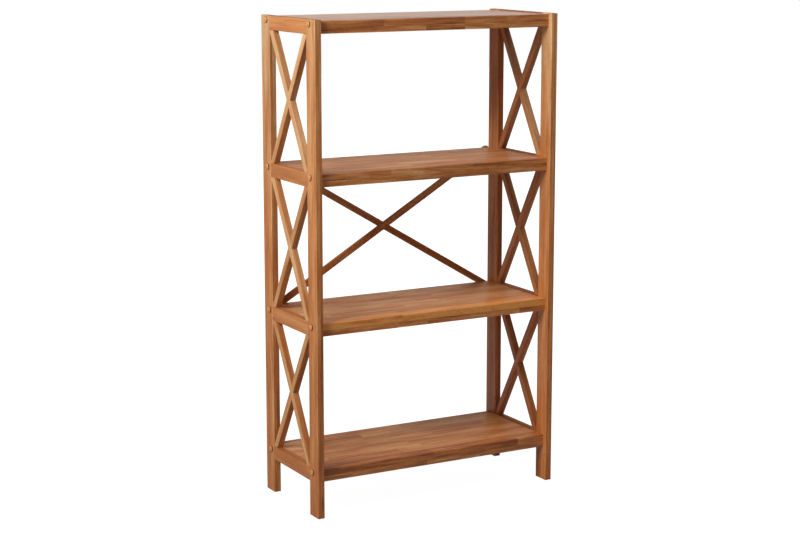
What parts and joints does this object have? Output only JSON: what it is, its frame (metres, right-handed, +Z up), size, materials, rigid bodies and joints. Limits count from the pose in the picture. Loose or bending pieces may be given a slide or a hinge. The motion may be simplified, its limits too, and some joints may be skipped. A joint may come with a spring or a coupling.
{
  "type": "bookcase",
  "caption": "Open free-standing wooden bookcase with level shelves between four posts, crossed slats in its ends and a diagonal cross behind the middle opening.",
  "frame": {"origin": "on the floor, under the middle of the case", "axes": "+X to the right seen from the front, +Y towards the back, +Z up"},
  "size_m": [0.813, 0.35, 1.428],
  "materials": {
    "frame_wood": "oiled warm brown hardwood with straight grain and a low satin sheen",
    "shelf_wood": "oiled brown hardwood, edge-glued from staves of mixed tone, satin",
    "cap_wood": "oiled lighter turned hardwood, satin",
    "steel": "zinc-plated steel"
  },
  "bodies": {
    "root": {"post_front_left": "frame_wood", "post_front_right": "frame_wood", "post_back_left": "frame_wood", "post_back_right": "frame_wood", "end_rail_left_bottom": "frame_wood", "end_rail_left_lower": "frame_wood", "end_rail_left_upper": "frame_wood", "end_rail_left_top": "frame_wood", "end_rail_right_bottom": "frame_wood", "end_rail_right_lower": "frame_wood", "end_rail_right_upper": "frame_wood", "end_rail_right_top": "frame_wood", "side_slat_left_bottom_rising": "frame_wood", "side_slat_left_bottom_falling": "frame_wood", "side_slat_left_middle_rising": "frame_wood", "side_slat_left_middle_falling": "frame_wood", "side_slat_left_top_rising": "frame_wood", "side_slat_left_top_falling": "frame_wood", "side_slat_right_bottom_rising": "frame_wood", "side_slat_right_bottom_falling": "frame_wood", "side_slat_right_middle_rising": "frame_wood", "side_slat_right_middle_falling": "frame_wood", "side_slat_right_top_rising": "frame_wood", "side_slat_right_top_falling": "frame_wood", "shelf_board_bottom": "shelf_wood", "shelf_board_lower": "shelf_wood", "shelf_board_upper": "shelf_wood", "shelf_board_top": "shelf_wood", "front_batten_bottom": "shelf_wood", "front_batten_lower": "shelf_wood", "front_batten_upper": "shelf_wood", "front_batten_top": "shelf_wood", "back_batten_bottom": "shelf_wood", "back_batten_lower": "shelf_wood", "back_batten_upper": "shelf_wood", "back_batten_top": "shelf_wood", "back_slat_rising": "frame_wood", "back_slat_falling": "frame_wood", "bolts_bottom": "steel", "bolts_lower": "steel", "bolts_upper": "steel", "bolts_top": "steel", "inserts_bottom": "steel", "inserts_lower": "steel", "inserts_upper": "steel", "inserts_top": "steel", "caps_bottom": "cap_wood", "caps_lower": "cap_wood", "caps_upper": "cap_wood", "caps_top": "cap_wood", "brace_screws": "steel"}
  },
  "joints": []
}
